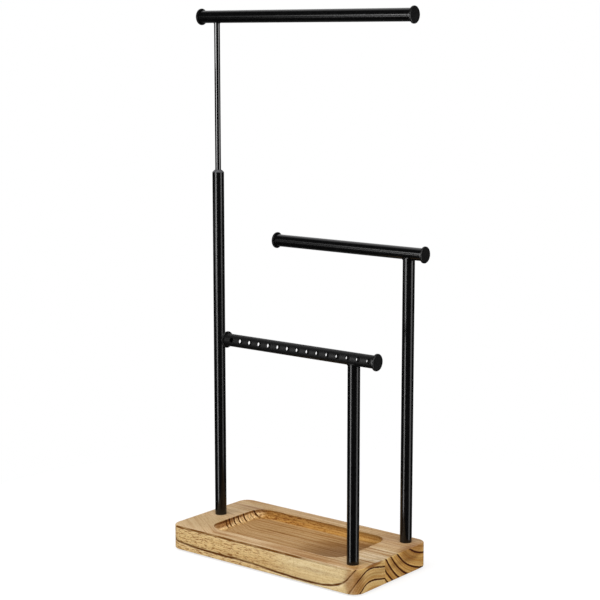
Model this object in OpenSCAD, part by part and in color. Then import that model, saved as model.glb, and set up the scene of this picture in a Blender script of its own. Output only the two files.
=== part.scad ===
// Three-tier jewelry stand. A wooden board with a coved tray carries three
// T-shaped tube rails. The tall left one telescopes and swivels on a twist
// lock. The two on the right are fixed, and the lowest rail is drilled with a
// row of holes for hooks.
//
// Millimetres. +X runs along the board to the right, +Y to the back, +Z up.
// The origin is on the table, under the middle of the space the stand takes.
// The pieces are drawn with x = 0 at the board's middle, and centred() then
// shifts them to that origin.

/* [Board] */
// Length of the board
board_l = 240; // [220:1:320]
// Depth of the board, front to back
board_w = 120; // [110:1:170]
// Thickness of the board
board_h = 25; // [22:0.5:40]
// Radius of the board's upright corners
board_corner_r = 12; // [6:0.5:20]
// Radius of the board's eased edges
board_edge_r = 1.2; // [0.5:0.1:2.5]
// Depth of the front stave; the glue line runs along its back
front_stave_w = 46; // [35:1:60]

/* [Tray] */
// Wood left between the tray and each end of the board
tray_end_margin = 35; // [30:1:50]
// Wood left between the tray and the board's front and back
tray_side_margin = 17; // [12:1:30]
// Depth of the tray
tray_depth = 10; // [6:0.5:11]
// Radius of the tray's corners, seen from above
tray_corner_r = 18; // [10:0.5:28]
// Radius of the cove where the tray's wall turns into its floor
tray_cove_r = 6; // [3:0.5:9]

/* [Foot pads] */
// Diameter of a foot pad
pad_d = 12; // [8:0.5:16]
// Thickness of a foot pad
pad_t = 1.5; // [1:0.1:3]
// From a pad's centre to the end of the board
pad_end_inset = 38; // [34:1:60]
// From a pad's centre to the board's front or back
pad_side_inset = 14; // [10:1:20]

/* [Posts] */
// Outer diameter of the post tubes
post_d = 12; // [10:0.1:12.4]
// Wall of the post tubes
post_wall = 0.8; // [0.6:0.1:1.2]
// From a post's axis to the end of the board
post_end_inset = 16.5; // [12:0.5:22]
// From a right post's axis to the board's front or back
post_side_inset = 16; // [12:0.5:24]
// Length of the left post's outer tube
left_tube_l = 361; // [300:1:400]
// Length of the plug in the foot of each post
plug_l = 20; // [16:1:30]

/* [Rails] */
// Outer diameter of the rail tubes
rail_d = 12.5; // [12.1:0.1:15]
// Wall of the rail tubes
rail_wall = 0.6; // [0.5:0.1:1]
// Length of the top rail's tube
top_rail_l = 260; // [200:1:320]
// Length of the middle rail's tube
middle_rail_l = 183; // [140:1:220]
// Length of the lower rail's tube
lower_rail_l = 183; // [150:1:220]
// Height of the top rail's axis over the board, pulled right out
top_rail_h = 517; // [500:1:540]
// Height of the middle rail's axis over the board
middle_rail_h = 290; // [260:1:320]
// Height of the lower rail's axis over the board
lower_rail_h = 199.5; // [150:0.5:230]
// From the left post's axis to the top rail's left end
top_overhang = 20; // [14:1:40]
// From the back post's axis to the middle rail's right end
middle_overhang = 18; // [14:1:40]
// From the front post's axis to the lower rail's right end
lower_overhang = 26; // [14:1:40]

/* [Hook holes] */
// Number of holes along the lower rail
hole_count = 15; // [5:1:17]
// From the first hole to the left end of the rail's tube
hole_left_margin = 10; // [5:0.1:30]
// From the last hole to the right end of the rail's tube
hole_right_margin = 5; // [5:0.1:30]
// Diameter of the holes
hole_d = 4.8; // [3:0.1:5]
// Angle by which the front mouths are turned up
hole_tilt = 14; // [0:1:20]

/* [End caps] */
// Diameter of a cap's flange
cap_d = 16.5; // [15.5:0.1:18]
// Thickness of a cap's flange
cap_flange_t = 1.6; // [1.2:0.1:2.5]
// Radius of the flange's outer edge
cap_edge_r = 0.9; // [0.4:0.1:1]
// Length of the stem inside the tube
cap_stem_l = 2.4; // [1.5:0.1:2.4]
// Wall of the hollow stem
cap_stem_wall = 1.2; // [0.8:0.1:2]

/* [Sliding rod] */
// Diameter of the sliding rod
rod_d = 6; // [5:0.1:6.5]
// Gap left between the sleeve and the bush when the rail is pulled right out
stop_gap = 0.5; // [0.2:0.1:2]
// How far the rod reaches past the top rail's lower wall
rod_reach = 2.5; // [1.5:0.1:4]
// Height of the bush's tapered collar on the tube's mouth
collar_h = 2.3; // [1.5:0.1:4]
// Width of the collar's top, all round the rod
collar_lip = 0.6; // [0.4:0.1:1.2]
// Length of the bush inside the tube
bush_l = 24; // [12:1:40]

/* [Twist lock] */
// Length of the split sleeve
sleeve_l = 14; // [10:0.5:20]
// Width of the sleeve's split
sleeve_split = 1.4; // [0.8:0.1:2]
// Diameter of the cone's narrow upper end
cone_top_d = 4.4; // [4:0.1:4.8]
// Diameter of the cone's wide lower end
cone_bottom_d = 7; // [6:0.1:7.4]
// Diameter of the stud that joins the cone to the rod
stud_d = 3; // [2.5:0.1:3.6]
// Length of the stud in the rod
stud_l = 10; // [6:1:16]
// Radial gap between the flange under the sleeve and the tube
cone_flange_gap = 0.7; // [0.3:0.1:1]
// Thickness of the flange under the sleeve
cone_flange_t = 1.5; // [1:0.1:3]

/* [Bolts] */
// Diameter of the bolts
bolt_d = 6; // [5:0.1:6]
// How far a bolt reaches into its plug
bolt_engage = 8.4; // [6:0.1:12]
// Diameter of a bolt's head
bolt_head_d = 10; // [9:0.1:11]
// Height of a bolt's head
bolt_head_h = 4; // [3:0.1:5]
// Hexagon socket, across its flats
socket_flats = 4; // [3:0.5:5]
// Depth of the hexagon socket
socket_depth = 2.4; // [1.5:0.1:2.6]
// Diameter of a washer
washer_d = 12; // [11.5:0.1:14]
// Thickness of a washer
washer_t = 1.6; // [1:0.1:2]
// Diameter of the recess around a bolt's head
recess_d = 15; // [14.6:0.1:18]
// Depth of the recess around a bolt's head
recess_depth = 10; // [8:0.5:12]

/* [Fits] */
// Radial clearance of pressed-in plugs, stems and bushes
press_gap = 0.05; // [0.02:0.01:0.08]
// Radial clearance of what slides or turns
run_gap = 0.05; // [0.03:0.01:0.08]
// Gap between a welded post's saddle and its rail
saddle_gap = 0.05; // [0.02:0.01:0.1]
// Height left between the saddle's rim and the hook holes
saddle_clear = 0.2; // [0.1:0.1:0.6]
// End play of the sleeve on its cone
sleeve_play = 0.3; // [0.1:0.05:0.5]
// Radial clearance of a bolt in wood and washer
bolt_gap = 0.25; // [0.1:0.05:0.4]

/* [Hidden] */

// Fineness of the curves
$fn = 96;
// Overrun of a cutting shape past the face it cuts
cut = 1;

wood_colour = [0.80, 0.62, 0.38];
coat_colour = [0.06, 0.06, 0.06];
cap_colour = [0.09, 0.09, 0.09];
nylon_colour = [0.35, 0.36, 0.37];
steel_colour = [0.72, 0.73, 0.75];
felt_colour = [0.16, 0.15, 0.14];

// Board and posts
board_top = pad_t + board_h;
tray_l = board_l - 2 * tray_end_margin;
tray_w = board_w - 2 * tray_side_margin;
glue_y = front_stave_w - board_w / 2;
right_x = board_l / 2 - post_end_inset;
right_y = board_w / 2 - post_side_inset;
left_post = [-right_x, 0];
back_post = [right_x, right_y];
front_post = [right_x, -right_y];
post_bore = post_d - 2 * post_wall;

// Rails: each runs from its x0 to its x1 at its height z
rail_bore = rail_d - 2 * rail_wall;
top_z = board_top + top_rail_h;
middle_z = board_top + middle_rail_h;
lower_z = board_top + lower_rail_h;
top_x0 = left_post.x - top_overhang;
top_x1 = top_x0 + top_rail_l;
middle_x1 = back_post.x + middle_overhang;
middle_x0 = middle_x1 - middle_rail_l;
lower_x1 = front_post.x + lower_overhang;
lower_x0 = lower_x1 - lower_rail_l;
hole_pitch = (lower_rail_l - hole_left_margin - hole_right_margin) / (hole_count - 1);
// From a rail's axis down to the lowest point of a hook hole's rear mouth
hole_drop = rail_d / 2 * sin(hole_tilt) + hole_d / 2 * cos(hole_tilt);

// Sliding rod and its lock, from the tube's mouth down
mouth_z = board_top + left_tube_l;
rod_top_z = top_z - rail_d / 2 + rail_wall + rod_reach;
rod_bottom_z = mouth_z - bush_l - stop_gap + sleeve_play;
rod_hole_d = rod_d + 2 * press_gap;
bush_bore = rod_d + 2 * run_gap;
sleeve_d = post_bore - 2 * run_gap;
cone_l = sleeve_l + 2 * sleeve_play;
cone_flange_d = post_bore - 2 * cone_flange_gap;
cone_bottom_z = rod_bottom_z - cone_l;

// Bolts: the head hangs in its recess under the board
recess_top = pad_t + recess_depth;
washer_z = recess_top - washer_t;
bolt_head_z = washer_z - bolt_head_h;
bolt_tip_z = board_top + bolt_engage;
bolt_hole_d = bolt_d + 2 * bolt_gap;
plug_bore = bolt_d + 2 * press_gap;
plug_bore_l = bolt_engage + cut;
plug_d = post_bore - 2 * press_gap;

// The middle of everything, left to right
stand_x0 = min(-board_l / 2, min(top_x0, middle_x0, lower_x0) - cap_flange_t);
stand_x1 = max(board_l / 2, max(top_x1, middle_x1, lower_x1) + cap_flange_t);
stand_mid_x = (stand_x0 + stand_x1) / 2;

// ---------------------------------------------------------------- helpers

// Moves a piece from the board's middle to the stand's own origin.
module centred() {
    translate([-stand_mid_x, 0, 0]) children();
}

// Places children at a post's foot, z counted from the table.
module at_post(post) {
    centred() translate([post.x, post.y, 0]) children();
}

// Turns something drawn along +Z so that it runs along +X from x at height z.
module along_rail(x, y, z) {
    centred() translate([x, y, z]) rotate([0, 90, 0]) children();
}

// Right half of a slab's section: its outer corners are rounded by
// low_r at the bottom and high_r at the top.
module half_section(half_w, h, low_r, high_r) {
    square([half_w - max(low_r, high_r), h]);
    translate([0, low_r]) square([half_w, h - low_r - high_r]);
    if (low_r > 0) {
        translate([half_w - low_r, low_r]) circle(low_r);
    }
    if (high_r > 0) {
        translate([half_w - high_r, h - high_r]) circle(high_r);
    }
}

// Slab with round upright corners and rounded lower and upper edges: a core,
// a strip along each side and a quarter turn in each corner, all face to face.
module round_slab(l, w, h, corner_r, low_r, high_r) {
    core_l = l - 2 * corner_r;
    core_w = w - 2 * corner_r;
    translate([-core_l / 2, -core_w / 2, 0]) cube([core_l, core_w, h]);
    for (side = [0, 1]) {
        rotate([0, 0, 180 * side]) {
            slab_side(core_w / 2, core_l, h, corner_r, low_r, high_r);
            slab_corner(core_l / 2, core_w / 2, 0, h, corner_r, low_r, high_r);
            slab_corner(-core_l / 2, core_w / 2, 90, h, corner_r, low_r, high_r);
        }
        rotate([0, 0, 180 * side + 90]) slab_side(core_l / 2, core_w, h, corner_r, low_r, high_r);
    }
}

// Strip of a slab's side: it starts at y = start and is run long.
module slab_side(start, run, h, corner_r, low_r, high_r) {
    translate([-run / 2, start, 0])
        rotate([90, 0, 90])
            linear_extrude(run) half_section(corner_r, h, low_r, high_r);
}

module slab_corner(x, y, turn, h, corner_r, low_r, high_r) {
    translate([x, y, 0])
        rotate([0, 0, turn])
            rotate_extrude(angle = 90) half_section(corner_r, h, low_r, high_r);
}

// Straight tube standing on z = 0.
module tube(d, bore, l) {
    difference() {
        cylinder(d = d, h = l);
        translate([0, 0, -cut]) cylinder(d = bore, h = l + 2 * cut);
    }
}

// ------------------------------------------------------------------ board

module board_blank() {
    translate([0, 0, pad_t])
        round_slab(board_l, board_w, board_h, board_corner_r, board_edge_r, board_edge_r);
}

module tray_cut() {
    translate([0, 0, board_top - tray_depth])
        round_slab(tray_l, tray_w, tray_depth + cut, tray_corner_r, tray_cove_r, 0);
}

module bolt_cuts() {
    for (post = [left_post, back_post, front_post]) {
        translate([post.x, post.y, 0]) {
            cylinder(d = bolt_hole_d, h = board_top + cut);
            cylinder(d = recess_d, h = recess_top);
        }
    }
}

// The part of the finished board between two depths.
module stave(y0, y1) {
    color(wood_colour) centred() difference() {
        intersection() {
            board_blank();
            translate([-board_l / 2 - cut, y0, 0]) cube([board_l + 2 * cut, y1 - y0, board_top + cut]);
        }
        tray_cut();
        bolt_cuts();
    }
}

module board_front_stave() {
    stave(-board_w / 2 - cut, glue_y);
}

module board_back_stave() {
    stave(glue_y, board_w / 2 + cut);
}

module pad(side_x, side_y) {
    color(felt_colour) centred()
        translate([side_x * (board_l / 2 - pad_end_inset), side_y * (board_w / 2 - pad_side_inset), 0])
            cylinder(d = pad_d, h = pad_t);
}

// ------------------------------------------------------------------ posts

// Fixed post: its top is cut to a saddle that takes the rail at rail_z and is
// trimmed level, so that it stays under the hook holes.
module saddle_post(post, rail_z) {
    rim_z = rail_z - hole_drop - saddle_clear;
    color(coat_colour) at_post(post) difference() {
        translate([0, 0, board_top]) tube(post_d, post_bore, rim_z - board_top);
        translate([-post_d, 0, rail_z])
            rotate([0, 90, 0]) cylinder(d = rail_d + 2 * saddle_gap, h = 2 * post_d);
    }
}

module left_post_tube() {
    color(coat_colour) at_post(left_post)
        translate([0, 0, board_top]) tube(post_d, post_bore, left_tube_l);
}

// Threaded plug pressed into a post's foot.
module post_plug(post) {
    color(steel_colour) at_post(post) translate([0, 0, board_top]) difference() {
        cylinder(d = plug_d, h = plug_l);
        translate([0, 0, -cut]) cylinder(d = plug_bore, h = plug_bore_l + cut);
    }
}

// Socket-head bolt, put in from under the board.
module post_bolt(post) {
    color(steel_colour) at_post(post) difference() {
        union() {
            translate([0, 0, bolt_head_z]) cylinder(d = bolt_head_d, h = bolt_head_h);
            translate([0, 0, bolt_head_z]) cylinder(d = bolt_d, h = bolt_tip_z - bolt_head_z);
        }
        translate([0, 0, bolt_head_z - cut])
            cylinder(d = socket_flats / cos(30), h = socket_depth + cut, $fn = 6);
    }
}

module post_washer(post) {
    color(steel_colour) at_post(post)
        translate([0, 0, washer_z]) tube(washer_d, bolt_hole_d, washer_t);
}

// ------------------------------------------------------------------ rails

// Hollow end cap, drawn with its flange on the tube's end at z = 0 and its
// stem reaching down inside the tube.
module end_cap() {
    stem_d = rail_bore - 2 * press_gap;
    stem_bore = stem_d - 2 * cap_stem_wall;
    rotate_extrude() half_section(cap_d / 2, cap_flange_t, 0, cap_edge_r);
    translate([0, 0, -cap_stem_l]) tube(stem_d, stem_bore, cap_stem_l);
}

module left_cap(x, post, z) {
    color(cap_colour) along_rail(x, post.y, z) mirror([0, 0, 1]) end_cap();
}

module right_cap(x, post, z) {
    color(cap_colour) along_rail(x, post.y, z) end_cap();
}

module plain_rail(x0, x1, post, z) {
    along_rail(x0, post.y, z) tube(rail_d, rail_bore, x1 - x0);
}

// The rod enters the top rail through a hole in its lower wall.
module top_rail() {
    color(coat_colour) difference() {
        plain_rail(top_x0, top_x1, left_post, top_z);
        at_post(left_post) translate([0, 0, top_z - rail_d]) cylinder(d = rod_hole_d, h = rail_d);
    }
}

module middle_rail() {
    color(coat_colour) plain_rail(middle_x0, middle_x1, back_post, middle_z);
}

// Each hook hole goes right through, its front mouth turned up a little.
module lower_rail() {
    color(coat_colour) difference() {
        plain_rail(lower_x0, lower_x1, front_post, lower_z);
        for (i = [0 : hole_count - 1]) {
            centred() translate([lower_x0 + hole_left_margin + i * hole_pitch, front_post.y, lower_z])
                rotate([90 - hole_tilt, 0, 0])
                    cylinder(d = hole_d, h = 2 * rail_d, center = true, $fn = 32);
        }
    }
}

// ------------------------------------------------- sliding rod and its lock

// Bush in the outer tube's mouth, with a collar that tapers to the rod.
module mouth_bush() {
    color(nylon_colour) at_post(left_post) translate([0, 0, mouth_z]) difference() {
        union() {
            cylinder(d1 = post_d, d2 = bush_bore + 2 * collar_lip, h = collar_h);
            translate([0, 0, -bush_l]) cylinder(d = plug_d, h = bush_l);
        }
        translate([0, 0, -bush_l - cut]) cylinder(d = bush_bore, h = bush_l + collar_h + 2 * cut);
    }
}

module slide_rod() {
    color(coat_colour) at_post(left_post) translate([0, 0, rod_bottom_z]) difference() {
        cylinder(d = rod_d, h = rod_top_z - rod_bottom_z);
        translate([0, 0, -cut]) cylinder(d = stud_d + 2 * press_gap, h = stud_l + 2 * cut);
    }
}

// Split nylon sleeve that the cone spreads against the tube's bore.
module lock_sleeve() {
    color(nylon_colour) at_post(left_post) translate([0, 0, cone_bottom_z + sleeve_play]) difference() {
        cylinder(d = sleeve_d, h = sleeve_l);
        translate([0, 0, -sleeve_play]) sleeve_taper(2 * run_gap);
        translate([0, -sleeve_split / 2, -cut]) cube([sleeve_d, sleeve_split, sleeve_l + 2 * cut]);
    }
}

// The cone's taper over its whole length, wider by 2 * grow in diameter.
module sleeve_taper(grow) {
    cylinder(d1 = cone_bottom_d + 2 * grow, d2 = cone_top_d + 2 * grow, h = cone_l);
}

module lock_cone() {
    color(steel_colour) at_post(left_post) translate([0, 0, cone_bottom_z]) {
        translate([0, 0, -cone_flange_t]) cylinder(d = cone_flange_d, h = cone_flange_t);
        sleeve_taper(0);
        translate([0, 0, cone_l]) cylinder(d = stud_d, h = stud_l);
    }
}

board_front_stave();
board_back_stave();
pad(-1, -1);  // pad_front_left
pad(1, -1);  // pad_front_right
pad(-1, 1);  // pad_back_left
pad(1, 1);  // pad_back_right
left_post_tube();
post_plug(left_post);  // left_post_plug
post_bolt(left_post);  // left_post_bolt
post_washer(left_post);  // left_post_washer
saddle_post(back_post, middle_z);  // back_post_tube
post_plug(back_post);  // back_post_plug
post_bolt(back_post);  // back_post_bolt
post_washer(back_post);  // back_post_washer
saddle_post(front_post, lower_z);  // front_post_tube
post_plug(front_post);  // front_post_plug
post_bolt(front_post);  // front_post_bolt
post_washer(front_post);  // front_post_washer
mouth_bush();
slide_rod();
lock_sleeve();
lock_cone();
top_rail();
left_cap(top_x0, left_post, top_z);  // top_rail_left_cap
right_cap(top_x1, left_post, top_z);  // top_rail_right_cap
middle_rail();
left_cap(middle_x0, back_post, middle_z);  // middle_rail_left_cap
right_cap(middle_x1, back_post, middle_z);  // middle_rail_right_cap
lower_rail();
left_cap(lower_x0, front_post, lower_z);  // lower_rail_left_cap
right_cap(lower_x1, front_post, lower_z);  // lower_rail_right_cap
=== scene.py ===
"""Studio picture of a three-tier jewelry stand, dressed around its CAD frame.

The frame is in metres: +X runs along the board to the right, +Y to the back,
+Z up, and the floor is z = 0. Patterns of the wood are written in millimetres.
"""

import logging
import math
from collections.abc import Sequence
from dataclasses import dataclass, field, replace
from enum import Enum

import bmesh
import bpy
from mathutils import Matrix, Vector


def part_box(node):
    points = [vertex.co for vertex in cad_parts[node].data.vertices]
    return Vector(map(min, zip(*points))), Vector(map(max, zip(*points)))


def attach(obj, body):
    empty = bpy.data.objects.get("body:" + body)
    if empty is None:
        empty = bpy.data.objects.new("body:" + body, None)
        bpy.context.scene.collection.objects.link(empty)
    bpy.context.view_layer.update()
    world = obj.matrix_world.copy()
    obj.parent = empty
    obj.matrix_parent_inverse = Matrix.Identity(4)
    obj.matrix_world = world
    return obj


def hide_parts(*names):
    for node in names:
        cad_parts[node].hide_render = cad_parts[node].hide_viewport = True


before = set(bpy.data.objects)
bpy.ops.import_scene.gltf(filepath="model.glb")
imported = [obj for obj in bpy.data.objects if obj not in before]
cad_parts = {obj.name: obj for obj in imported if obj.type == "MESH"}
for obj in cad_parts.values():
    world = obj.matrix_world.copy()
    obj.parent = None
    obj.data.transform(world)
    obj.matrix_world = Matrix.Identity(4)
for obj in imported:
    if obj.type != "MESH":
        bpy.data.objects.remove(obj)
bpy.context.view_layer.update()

log = logging.getLogger("stand")

MM = 0.001

Socket = bpy.types.NodeSocket
Term = float | Socket
Span = tuple[float, float]
Colour = tuple[float, float, float]


class Body(Enum):
    """The rigid bodies that the script's own pieces ride on, by their names in the frame."""

    STAND = "stand"
    TOP = "top_t"


class Slot(Enum):
    """The record's material slots of the script's own pieces."""

    COAT = "black_coat"
    FELT = "felt"


# ----- shaders -----


@dataclass(frozen=True)
class Grain:
    """A noise stretched to grains, and the mask that it makes.

    Attributes:
        size: Length of a grain along X, Y and Z, in mm.
        detail: Octaves of the noise.
        shift: Moves the noise, so that two grains differ.
        twist: Distortion of the noise.
        span: The noise's values where the mask starts and where it is full.
        mask: The mask's own values there.
    """

    size: tuple[float, float, float]
    detail: float = 3.0
    shift: float = 0.0
    twist: float = 0.0
    span: Span = (0.0, 1.0)
    mask: Span = (0.0, 1.0)


class Network:
    """Adds nodes to one node tree."""

    def __init__(self, tree: bpy.types.NodeTree) -> None:
        """Takes the tree over.

        Args:
            tree: The tree of a material or a world.
        """
        self.tree = tree

    def add(self, kind: str, *terms: object, **settings: object) -> bpy.types.Node:
        """Adds a node, sets its properties and feeds its first inputs.

        Args:
            kind: Blender's name of the node type.
            terms: Sockets or plain values for its inputs, in order.
            settings: The node's own properties.

        Returns:
            The new node.
        """
        node = self.tree.nodes.new(kind)
        for key, value in settings.items():
            setattr(node, key, value)
        for socket, term in zip(node.inputs, terms):
            self.feed(socket, term)
        return node

    def feed(self, socket: Socket, term: object) -> None:
        """Links a term to a socket, or sets it there if it is a plain value.

        Args:
            socket: The input.
            term: A socket or a value.
        """
        if isinstance(term, bpy.types.NodeSocket):
            self.tree.links.new(term, socket)
        else:
            socket.default_value = term

    def sum(self, operation: str, *terms: Term, clamp: bool = False) -> Socket:
        """Adds one math node.

        Args:
            operation: The node's operation, such as "ADD".
            terms: Its numbers or sockets, in order.
            clamp: Whether the result stays within 0 and 1.

        Returns:
            The result's socket.
        """
        return self.add("ShaderNodeMath", *terms, operation=operation, use_clamp=clamp).outputs[0]

    def product(self, first: Socket, *others: Term) -> Socket:
        """Multiplies any number of terms.

        Args:
            first: The first term.
            others: What it is multiplied by.

        Returns:
            The product's socket.
        """
        for other in others:
            first = self.sum("MULTIPLY", first, other)
        return first

    def less(self, share: Socket, loss: float = 1.0) -> Socket:
        """1 where a share is 0, and less by the loss where it is 1."""
        return self.sum("MULTIPLY_ADD", share, -loss, 1.0)

    def ease(self, term: Socket, span: Span, out: Span = (0.0, 1.0)) -> Socket:
        """Maps a term from span onto out, smoothly and clamped."""
        return self.add("ShaderNodeMapRange", term, *span, *out, interpolation_type="SMOOTHSTEP").outputs[0]

    def spread(self, term: Socket, low: float, high: float) -> Socket:
        """Maps a term from low..high onto 0..1, evenly and clamped."""
        return self.add("ShaderNodeMapRange", term, low, high).outputs[0]

    def between(self, amount: Term, first: Term, second: Term) -> Socket:
        """Mixes two numbers: an amount of 0 gives the first, 1 the second.

        Args:
            amount: The amount.
            first: A number or a socket.
            second: A number or a socket.

        Returns:
            A value socket.
        """
        node = self.add("ShaderNodeMix", data_type="FLOAT")
        self.feed(node.inputs[0], amount)
        self.feed(node.inputs[2], first)
        self.feed(node.inputs[3], second)
        return node.outputs[0]

    def join(self, x: Term, y: Term, z: Term) -> Socket:
        """A vector from its X, Y and Z."""
        return self.add("ShaderNodeCombineXYZ", x, y, z).outputs[0]

    def split(self, vector: Socket) -> Sequence[Socket]:
        """The X, Y and Z of a vector."""
        return self.add("ShaderNodeSeparateXYZ", vector).outputs

    def along(self, vector: Socket, axis: Vector) -> Socket:
        """How far a vector goes along a unit axis."""
        return self.add("ShaderNodeVectorMath", vector, axis, operation="DOT_PRODUCT").outputs["Value"]

    def seen(self) -> Socket:
        """1 for rays from the camera, straight or through something clear."""
        rays = self.add("ShaderNodeLightPath").outputs
        return self.sum("ADD", rays["Is Camera Ray"], rays["Is Transmission Ray"], clamp=True)


class Shader(Network):
    """Writes the node tree of one material."""

    def __init__(self, name: str) -> None:
        """Starts from an empty principled material.

        Args:
            name: Name of the material.
        """
        self.material = bpy.data.materials.new(name)
        self.material.use_nodes = True
        super().__init__(self.material.node_tree)
        self.surface = self.tree.nodes["Principled BSDF"]

    def fix(self, **values: object) -> None:
        """Sets constants on the shader's own sockets, such as Roughness=0.4."""
        for key, value in values.items():
            self.surface.inputs[key.replace("_", " ")].default_value = value

    def dye(self, colour: Socket, roughness: Socket) -> None:
        """Feeds the shader's colour and roughness."""
        self.feed(self.surface.inputs["Base Color"], colour)
        self.feed(self.surface.inputs["Roughness"], roughness)

    def scaled(self, vector: Socket, location: Sequence[float], scale: Sequence[float]) -> Socket:
        """Scales a vector, then moves it, without turning it."""
        return self.add("ShaderNodeMapping", vector, location, (0.0, 0.0, 0.0), scale).outputs[0]

    def place(self, origin: Sequence[float]) -> Socket:
        """Object coordinates counted from origin, in millimetres.

        Args:
            origin: The point that becomes zero, in metres.

        Returns:
            A vector socket.
        """
        coordinates = self.add("ShaderNodeTexCoord").outputs["Object"]
        return self.scaled(coordinates, [-value / MM for value in origin], [1 / MM] * 3)

    def facing(self) -> Sequence[Socket]:
        """The X, Y and Z of the surface's normal."""
        return self.split(self.add("ShaderNodeNewGeometry").outputs["Normal"])

    def grain(self, place: Socket, grain: Grain, shift: float = 0.0) -> Socket:
        """The noise of a grain.

        Args:
            place: Position in millimetres.
            grain: The grain.
            shift: Moves the noise further, so that two pieces differ.

        Returns:
            A value socket around 0.5.
        """
        node = self.add("ShaderNodeTexNoise")
        where = self.scaled(place, [grain.shift + shift] * 3, [1 / size for size in grain.size])
        self.feed(node.inputs["Vector"], where)
        self.feed(node.inputs["Scale"], 1.0)
        self.feed(node.inputs["Detail"], grain.detail)
        self.feed(node.inputs["Distortion"], grain.twist)
        return node.outputs[0]

    def mask(self, place: Socket, grain: Grain, shift: float = 0.0) -> Socket:
        """The mask that a grain makes, from the same terms as its noise."""
        return self.ease(self.grain(place, grain, shift), grain.span, grain.mask)

    def mix(self, amount: Term, first: object, second: object, blend: str = "MIX") -> Socket:
        """Mixes two colours.

        Args:
            amount: 0 gives the first colour, 1 the second.
            first: A colour or a socket.
            second: A colour or a socket.
            blend: Blender's blend type.

        Returns:
            A colour socket.
        """
        node = self.add("ShaderNodeMix", data_type="RGBA", blend_type=blend)
        colours = [socket for socket in node.inputs if socket.type == "RGBA"]
        self.feed(node.inputs[0], amount)
        for socket, colour in zip(colours, (first, second)):
            self.feed(socket, (*colour, 1.0) if isinstance(colour, tuple) else colour)
        return next(socket for socket in node.outputs if socket.type == "RGBA")

    def ramp(self, term: Socket, stops: Sequence[tuple[float, Colour]]) -> Socket:
        """Colours a term by stops given in the term's own units.

        Args:
            term: The value that is coloured.
            stops: Pairs of value and colour, rising.

        Returns:
            A colour socket.
        """
        low, high = stops[0][0], stops[-1][0]
        node = self.add("ShaderNodeValToRGB", self.spread(term, low, high))
        elements = node.color_ramp.elements
        elements[0].color = (*stops[0][1], 1.0)
        elements[1].color = (*stops[-1][1], 1.0)
        for value, colour in stops[1:-1]:
            elements.new((value - low) / (high - low)).color = (*colour, 1.0)
        return node.outputs[0]

    def curve(self, term: Socket, points: Sequence[tuple[float, float]]) -> Socket:
        """Passes a term through a smooth curve.

        Args:
            term: The value along the curve.
            points: Pairs of value and result, rising in value.

        Returns:
            A value socket.
        """
        low, high = points[0][0], points[-1][0]
        results = [result for _, result in points]
        floor, span = min(results), max(results) - min(results)
        node = self.add("ShaderNodeFloatCurve")
        line = node.mapping.curves[0]
        for value, result in points[1:-1]:
            line.points.new((value - low) / (high - low), (result - floor) / span)
        for point, result in ((line.points[0], results[0]), (line.points[-1], results[-1])):
            point.location.y = (result - floor) / span
        node.mapping.update()
        self.feed(node.inputs["Value"], self.spread(term, low, high))
        return self.sum("MULTIPLY_ADD", node.outputs[0], span, floor)

    def emboss(self, height: Socket, depth: float, strength: float = 1.0) -> None:
        """Turns a height of 0 to 1 into relief.

        Args:
            height: The relief's height.
            depth: What a height of 1 stands for, in metres.
            strength: Blender's bump strength.
        """
        node = self.add("ShaderNodeBump")
        self.feed(node.inputs["Height"], height)
        self.feed(node.inputs["Distance"], depth)
        self.feed(node.inputs["Strength"], strength)
        self.feed(self.surface.inputs["Normal"], node.outputs[0])


# ----- wood -----

# Stains of the wood, as shares of the palest tone that a face has.
PALE = (1.0, 1.0, 1.0)
GOLD = (0.86, 0.80, 0.68)
AMBER = (0.70, 0.56, 0.39)
UMBER = (0.48, 0.33, 0.24)
OCHRE = (0.78, 0.72, 0.62)
GLINT = (1.12, 1.11, 1.10)
DEEP = (0.80, 0.77, 0.75)
CHALK = (1.14, 1.27, 1.48)
BONE = (1.12, 1.24, 1.42)
CREAM = (1.085, 1.18, 1.36)
SHELL = (0.94, 1.01, 1.12)
MILK = (1.04, 1.08, 1.14)
HONEY = (0.91, 0.80, 0.61)
STRAW = (0.88, 0.82, 0.68)
SAND = (0.88, 0.82, 0.78)
ASH = (0.93, 0.92, 0.93)
SMOKE = (0.88, 0.89, 0.86)
MIST = (0.87, 0.86, 0.89)
DUSK = (0.86, 0.85, 0.88)
TAN = (0.62, 0.50, 0.42)
# Painted shade in the tray's front left corner.
CORNER_SHADE = (0.45, 0.32, 0.22)
# Painted shade along the tray's rim, strongest at the left.
RIM_SHADE = (0.34, 0.21, 0.12)

# Dark colours that cover the wood.
BLACK = (0.0, 0.0, 0.0)
LINE = (0.040, 0.007, 0.001)
SIDE_LINE = (0.085, 0.024, 0.001)
ARRIS_DARK = (0.120, 0.042, 0.004)

# The palest tone of each kind of face. End grain is darker of its own; the rest holds painted light: the top
# takes in painted sheen, the tray's floor and its front and back walls are darker as painted shade inside the
# tray, those walls more orange as painted bounced light, and the tray's end walls paler to stand in for light
# they miss.
TOP_TONE = (0.57, 0.410, 0.240)
SIDE_TONE = (0.665, 0.511, 0.277)
END_TONE = (0.62, 0.425, 0.180)
FLOOR_TONE = (0.45, 0.285, 0.130)
WALL_TONE = (0.53, 0.300, 0.086)
SCOOP_TONE = (0.99, 0.770, 0.425)

# Kinds of face, by the share of the normal that goes up, or along the board.
FLAT_FACE = (0.75, 0.98)
END_FACE = (0.35, 0.90)

# The tray's inside: along X or twice along Y, under the board's top, over its foot.
TRAY_EDGE = (112.0, 106.0)
TRAY_MOUTH = (0.3, 1.3)
TRAY_FOOT = (2.0, 4.0)

# The tray's rim, darkened with painted shade, and the dark line along the front arris, under the top or along
# X.
RIM_TOP = (0.2, 0.8)
RIM_FOOT = (3.4, 1.8)
RIM_LEFT = (-78.0, -86.0)
ARRIS_DEPTH = (2.3, 1.6)
ARRIS_WIDTH = (1.3, 0.7)
ARRIS_RIGHT = (90.0, 40.0)
EDGE_FADE = (0.45, 1.0)

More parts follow.
